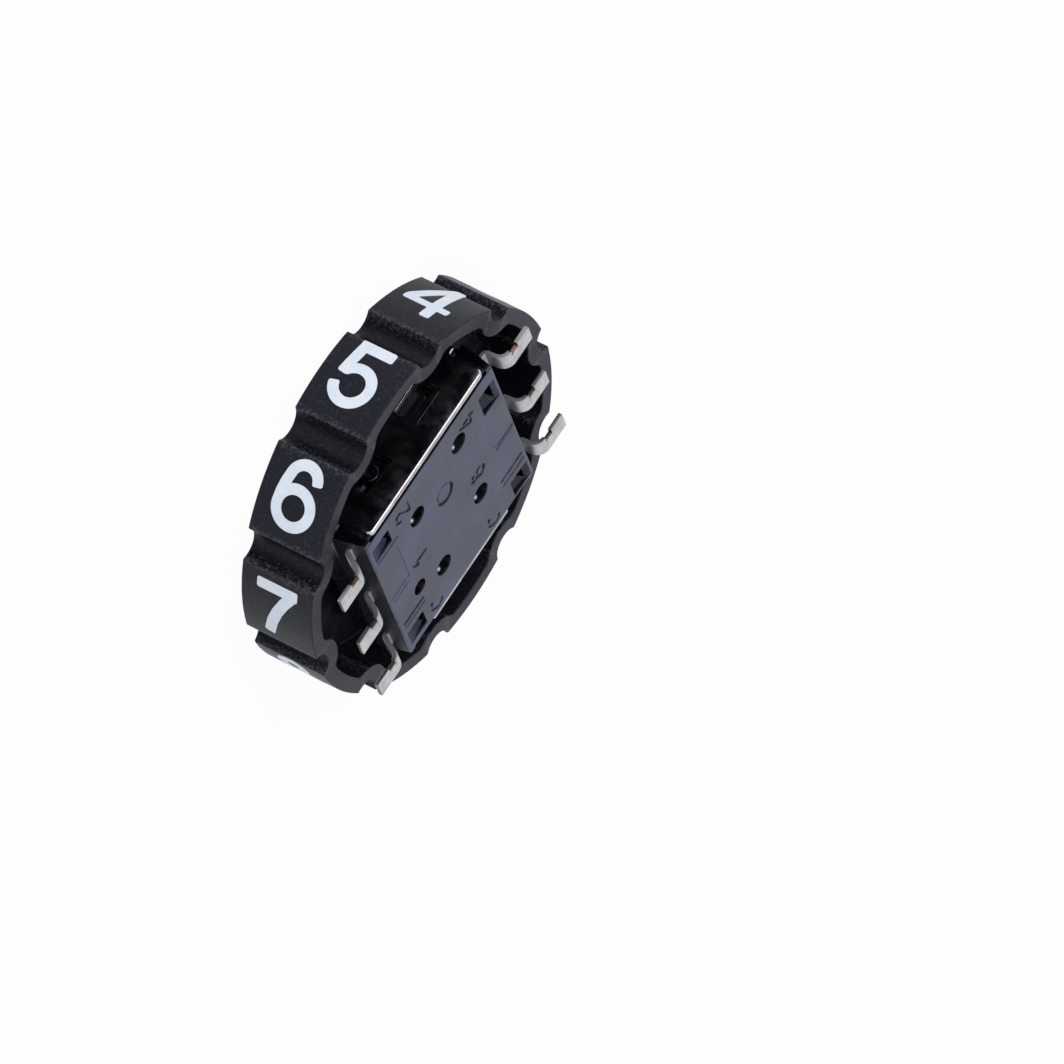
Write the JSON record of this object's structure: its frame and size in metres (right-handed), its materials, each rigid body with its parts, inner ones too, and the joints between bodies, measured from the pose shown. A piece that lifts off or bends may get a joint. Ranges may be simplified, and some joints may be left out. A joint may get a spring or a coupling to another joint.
{
  "type": "thumbwheel switch",
  "caption": "Board-mounted rotary code switch with a large numbered thumbwheel, grip grooves, a folded sheet cover, a moulded base and gull-wing solder terminals.",
  "frame": {"origin": "on the wheel's axis, in the plane of the wheel's closed face", "axes": "+Z along the wheel's axis from the closed face to the circuit board; +Y towards the row with terminals 4 and 8; +X along the rows, from 4 to the common terminal"},
  "size_m": [0.0118, 0.0118, 0.0032],
  "materials": {
    "thumbwheel": "fine moulded, slightly speckled",
    "numerals": "flush filled paint",
    "rotor": "moulded, black",
    "o_ring": "smooth",
    "wiper": "gold plated",
    "detent_spring": "plain spring strip",
    "metal_cover": "bright stamped sheet",
    "base": "fine moulded",
    "terminal": "matt tin plate over copper alloy"
  },
  "bodies": {
    "housing": {"base": "base", "metal_cover": "metal_cover", "detent_spring": "detent_spring", "terminal_4": "terminal", "terminal_8": "terminal", "terminal_common_a": "terminal", "terminal_2": "terminal", "terminal_1": "terminal", "terminal_common_b": "terminal"},
    "wheel": {"thumbwheel": "thumbwheel", "numerals": "numerals", "rotor": "rotor", "o_ring": "o_ring", "wiper": "wiper"}
  },
  "joints": [
    {"name": "wheel_turn", "type": "hinge", "parent": "housing", "child": "wheel", "pos_m": [0, 0, 0.0012], "axis": [0, 0, 1], "continuous": true, "deforming": ["detent_spring"]}
  ]
}
